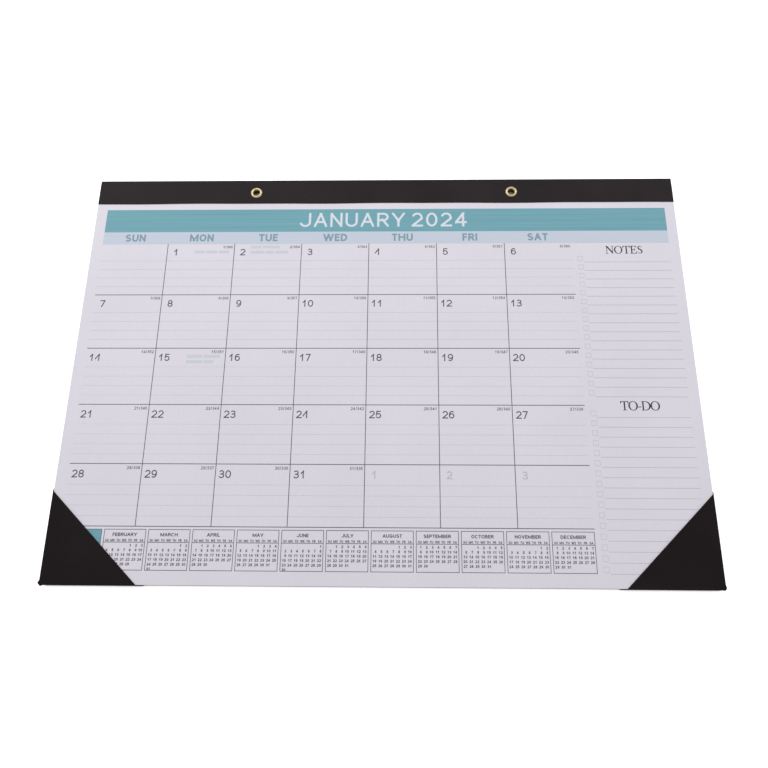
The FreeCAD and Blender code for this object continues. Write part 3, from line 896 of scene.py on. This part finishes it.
# plain printed bars beside some of the numbers: column and row of the box, distances from its left
# and top edges, and the lengths of the bars
NOTES = (
    (1, 0, 20.4, 6.6, (7.5, 8.0, 7.5)),
    (2, 0, 12.4, 2.6, (7.5, 12.5)),
    (2, 0, 12.1, 6.9, (10.0, 6.0, 9.5)),
    (1, 2, 22.4, 6.0, (11.0, 11.3)),
    (1, 2, 22.2, 10.1, (11.4, 6.8)),
)
NOTE_HEIGHT = 2.1
NOTE_GAP = 1.1
notes = []
for column, row, start, down, words in NOTES:
    x = column_left(column) + start
    for word in words:
        notes.append(bar(x, TABLE_TOP + ROW * row + down - NOTE_HEIGHT / 2, word, NOTE_HEIGHT))
        x += word + NOTE_GAP
add_print("note_bars", notes, NOTE_INK, "faint_line_print")


# the two headings, in letters with serifs drawn for a cap height of 1

SERIF = {
    "N": (0.97, [[(0, 1), (0, 0.96), (0.14, 0.93), (0.14, 0.06), (0.03, 0.04), (0.03, 0), (0.31, 0),
                  (0.31, 0.04), (0.2, 0.06), (0.2, 0.8), (0.8, 0), (0.86, 0), (0.86, 0.94),
                  (0.97, 0.96), (0.97, 1), (0.69, 1), (0.69, 0.96), (0.8, 0.94), (0.8, 0.26),
                  (0.26, 1)]]),
    "T": (0.84, [[(0, 1), (0, 0.74), (0.05, 0.74), (0.1, 0.9), (0.18, 0.94), (0.35, 0.94),
                  (0.35, 0.06), (0.24, 0.04), (0.24, 0), (0.6, 0), (0.6, 0.04), (0.49, 0.06),
                  (0.49, 0.94), (0.66, 0.94), (0.74, 0.9), (0.79, 0.74), (0.84, 0.74), (0.84, 1)]]),
    "E": (0.78, [[(0, 1), (0, 0.96), (0.1, 0.94), (0.1, 0.06), (0, 0.04), (0, 0), (0.72, 0),
                  (0.78, 0.27), (0.73, 0.27), (0.66, 0.1), (0.56, 0.06), (0.24, 0.06), (0.24, 0.48),
                  (0.44, 0.48), (0.49, 0.44), (0.51, 0.35), (0.55, 0.35), (0.55, 0.68), (0.51, 0.68),
                  (0.49, 0.58), (0.44, 0.54), (0.24, 0.54), (0.24, 0.94), (0.54, 0.94), (0.63, 0.9),
                  (0.69, 0.76), (0.73, 0.76), (0.7, 1)]]),
    "-": (0.42, [[(0.04, 0.33), (0.38, 0.33), (0.38, 0.41), (0.04, 0.41)]]),
}
S_LINE = [(0.56, 0.76, 0.03), (0.52, 0.9, 0.04), (0.35, 0.975, 0.06), (0.18, 0.92, 0.1),
          (0.11, 0.78, 0.13), (0.17, 0.64, 0.15), (0.33, 0.53, 0.16), (0.49, 0.41, 0.16),
          (0.555, 0.25, 0.14), (0.47, 0.09, 0.1), (0.3, 0.025, 0.06), (0.12, 0.1, 0.04),
          (0.06, 0.26, 0.03)]


def ribbon(line_points):
    """Outline of a line with its own width at each point"""
    one, other = [], []
    for number, (x, y, width) in enumerate(line_points):
        before = line_points[max(0, number - 1)]
        after = line_points[min(len(line_points) - 1, number + 1)]
        along = Vector((after[0] - before[0], after[1] - before[1])).normalized()
        one.append((x - along.y * width / 2, y + along.x * width / 2))
        other.append((x + along.y * width / 2, y - along.x * width / 2))
    return one + other[::-1]


SERIF["O"] = (0.98, [ellipse(0.49, 0.5, 0.49, 0.515)[:-1], ellipse(0.49, 0.5, 0.335, 0.46)[:-1]])
SERIF["D"] = (0.95, [
    [(0.4, 1), (0, 1), (0, 0.96), (0.1, 0.94), (0.1, 0.06), (0, 0.04), (0, 0)]
    + ellipse(0.4, 0.5, 0.55, 0.5, -90, 90)[:-1],
    [(0.24, 0.94), (0.24, 0.06)] + ellipse(0.38, 0.5, 0.41, 0.44, -90, 90)])
SERIF["S"] = (0.64, [ribbon(S_LINE)])


def filled_outline(rings):
    """The flat outline between closed rings of points"""
    curve = bpy.data.curves.new("letter", "CURVE")
    curve.dimensions = "2D"
    curve.fill_mode = "BOTH"
    for ring in rings:
        spline = curve.splines.new("POLY")
        spline.points.add(len(ring) - 1)
        for point, (x, y) in zip(spline.points, ring):
            point.co = (x, y, 0.0, 1.0)
        spline.use_cyclic_u = True
    thing = bpy.data.objects.new("letter", curve)
    bpy.context.scene.collection.objects.link(thing)
    bpy.context.view_layer.update()
    mesh = bpy.data.meshes.new_from_object(thing.evaluated_get(bpy.context.evaluated_depsgraph_get()))
    bpy.data.curves.remove(curve)
    return flat_outline(mesh, 0.0)


def serif_line(text, x, y, tall, width):
    """A line of serif lettering, as wide as given"""
    shapes = [filled_outline(SERIF[char][1]) for char in text]
    return lay_out(shapes, [SERIF[char][0] for char in text], x, y, tall, "middle", width)


headings = serif_line("NOTES", 391.6, 60.25, tall=6.25, width=27.0)
headings += serif_line("TO-DO", 391.3, 179.75, tall=6.5, width=26.5)
add_print("heading_letters", headings, HEADING_INK, "dark_line_print")


# the strip of small months, from the second month on

MONTH_NAME_Y = 268.2
MONTH_NAME_TALL = 2.2
MONTH_DAY_Y = 271.9
MONTH_DAY_TALL = 1.55
MONTH_RULE_TOP = 273.25
MONTH_RULE_TALL = 0.2
MONTH_RULE_INSET = 1.0
MONTH_DATE_TOP = 275.2
MONTH_DATE_TALL = 1.75
MONTH_DATE_ROW = 2.95
MONTH_DATE_COLUMN = 3.75
MONTH_DATE_RIGHT = 1.2

month_names, month_dates, month_rules = [], [], []
for month in range(2, 13):
    left = MONTH_LEFT + MONTH_PITCH * (month - 1)
    middle = left + MONTH_WIDTH / 2
    month_names += line(MONTHS[month - 1], middle, MONTH_NAME_Y, MONTH_NAME_TALL,
                        weight=0.19, stretch=1.2, fine=False)
    columns = [middle + MONTH_DATE_COLUMN * (number - 3) for number in range(7)]
    for x, name in zip(columns, WEEKDAYS):
        month_dates += line(name[:2], x, MONTH_DAY_Y, MONTH_DAY_TALL, weight=0.18, fine=False)
    rule_width = MONTH_WIDTH - 2 * MONTH_RULE_INSET
    month_rules.append(bar(left + MONTH_RULE_INSET, MONTH_RULE_TOP, rule_width, MONTH_RULE_TALL))
    for day, column, row in month_days(month):
        y = MONTH_DATE_TOP + MONTH_DATE_ROW * row
        month_dates += line(str(day), columns[column] + MONTH_DATE_RIGHT, y, MONTH_DATE_TALL,
                            anchor="right", weight=0.18, fine=False)
on_month = {"high": PRINT_TOP + LETTER_RISE}
add_print("month_names", month_names, SMALL_INK, "grey_line_print", **on_month)
add_print("month_dates", month_dates, SMALL_INK, "grey_line_print", **on_month)
add_print("month_rules", month_rules, GREY_LINE, "grey_line_print", **on_month)


# the CAD nodes that stay, each with its finished material

KEPT = {
    "back_board": CHIPBOARD,
    "title_band_print": TEAL,
    "weekday_band_print": PALE_BLUE,
    "day_grid_print": DARK_LINE,
    "writing_lines_print": RULED_LINE,
    "list_lines_print": LIST_LINE,
    "tick_boxes_print": FAINT_LINE,
    "month_frames_print": DARK_LINE,
    "current_month_print": TEAL,
}
for node, material in KEPT.items():
    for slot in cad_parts[node].material_slots:
        slot.material = material


# floor, backdrop and light

FLOOR_HALF = 4.0
FLOOR_DROP = 0.0002
FLOOR_TOP_UP = 0.75
SHADOW_REACH = 0.006
SHADOW_START = 0.4
SHADOW_END = 0.6
AMBIENT = 0.5


def seen_directly(nodes, joins):
    """1 for a ray from the camera or off metal or glass, 0 for one that carries light to the object"""
    path = nodes.new("ShaderNodeLightPath")
    total = path.outputs["Is Camera Ray"]
    for name in ("Is Glossy Ray", "Is Transmission Ray"):
        most = nodes.new("ShaderNodeMath")
        most.operation = "MAXIMUM"
        joins.new(total, most.inputs[0])
        joins.new(path.outputs[name], most.inputs[1])
        total = most.outputs["Value"]
    return total


def make_floor():
    """Plain white floor: lit as it is, and topped up to white where the camera sees it in the open"""
    mesh = bpy.data.meshes.new("floor")
    side = FLOOR_HALF
    mesh.from_pydata([(-side, -side, -FLOOR_DROP), (side, -side, -FLOOR_DROP),
                      (side, side, -FLOOR_DROP), (-side, side, -FLOOR_DROP)], [], [(0, 1, 2, 3)])
    floor = bpy.data.objects.new("floor", mesh)
    bpy.context.scene.collection.objects.link(floor)
    material = bpy.data.materials.new("white_floor")
    material.use_nodes = True
    nodes = material.node_tree.nodes
    nodes.clear()
    out = nodes.new("ShaderNodeOutputMaterial")
    lit = nodes.new("ShaderNodeBsdfDiffuse")
    lit.inputs["Color"].default_value = (0.9, 0.9, 0.9, 1.0)
    glow = nodes.new("ShaderNodeEmission")
    glow.inputs["Color"].default_value = (*WHITE, 1.0)
    open_sky = nodes.new("ShaderNodeAmbientOcclusion")
    open_sky.inputs["Distance"].default_value = SHADOW_REACH
    top_up = nodes.new("ShaderNodeMapRange")
    top_up.inputs["From Min"].default_value = SHADOW_START
    top_up.inputs["From Max"].default_value = SHADOW_END
    top_up.inputs["To Max"].default_value = FLOOR_TOP_UP
    level = nodes.new("ShaderNodeMath")
    level.operation = "MULTIPLY"
    both = nodes.new("ShaderNodeAddShader")
    joins = material.node_tree.links
    joins.new(open_sky.outputs["AO"], top_up.inputs["Value"])
    joins.new(seen_directly(nodes, joins), level.inputs[0])
    joins.new(top_up.outputs["Result"], level.inputs[1])
    joins.new(level.outputs["Value"], glow.inputs["Strength"])
    joins.new(lit.outputs["BSDF"], both.inputs[0])
    joins.new(glow.outputs["Emission"], both.inputs[1])
    joins.new(both.outputs["Shader"], out.inputs["Surface"])
    mesh.materials.append(material)


def make_world():
    """White where the camera or a shiny surface sees it, and a plain even sky for the light"""
    world = bpy.data.worlds.new("studio")
    bpy.context.scene.world = world
    world.use_nodes = True
    nodes, joins = world.node_tree.nodes, world.node_tree.links
    nodes.clear()
    out = nodes.new("ShaderNodeOutputWorld")
    sky, white = nodes.new("ShaderNodeBackground"), nodes.new("ShaderNodeBackground")
    sky.inputs["Color"].default_value = (*WHITE, 1.0)
    sky.inputs["Strength"].default_value = AMBIENT
    white.inputs["Color"].default_value = (*WHITE, 1.0)
    white.inputs["Strength"].default_value = 1.0
    either = nodes.new("ShaderNodeMixShader")
    joins.new(seen_directly(nodes, joins), either.inputs["Fac"])
    joins.new(sky.outputs["Background"], either.inputs[1])
    joins.new(white.outputs["Background"], either.inputs[2])
    joins.new(either.outputs["Shader"], out.inputs["Surface"])


def add_lamp(name, place, size, power):
    """A round soft lamp that points at the middle of the page"""
    lamp = bpy.data.lights.new(name, "AREA")
    lamp.shape = "DISK"
    lamp.size = size
    lamp.energy = power
    thing = bpy.data.objects.new(name, lamp)
    bpy.context.scene.collection.objects.link(thing)
    thing.location = place
    thing.rotation_euler = (-Vector(place)).to_track_quat("-Z", "Y").to_euler()


make_floor()
make_world()
add_lamp("key", (-0.75, 0.92, 1.15), size=0.7, power=11.5)
add_lamp("fill", (0.8, 0.92, 1.15), size=0.7, power=7.0)


# the camera, where the fit to the page's outline puts it

LENS = 36.492
CAMERA_PLACE = (0.015595, -0.195693, 0.507688)
CAMERA_RIGHT = (0.99967609, 0.00998853, -0.02340822)
CAMERA_UP = (-0.0014702, 0.94089251, 0.33870212)
CAMERA_FORWARD = (-0.02540775, 0.338558, -0.94060243)


def make_camera():
    camera = bpy.data.cameras.new("camera")
    camera.sensor_width = 36.0
    camera.lens = LENS
    camera.clip_start = 0.01
    thing = bpy.data.objects.new("camera", camera)
    bpy.context.scene.collection.objects.link(thing)
    turn = Matrix((CAMERA_RIGHT, CAMERA_UP, [-part for part in CAMERA_FORWARD])).transposed()
    thing.matrix_world = Matrix.Translation(CAMERA_PLACE) @ turn.to_4x4()
    bpy.context.scene.camera = thing


make_camera()
bpy.context.scene.view_settings.view_transform = "Standard"

bpy.context.view_layer.update()
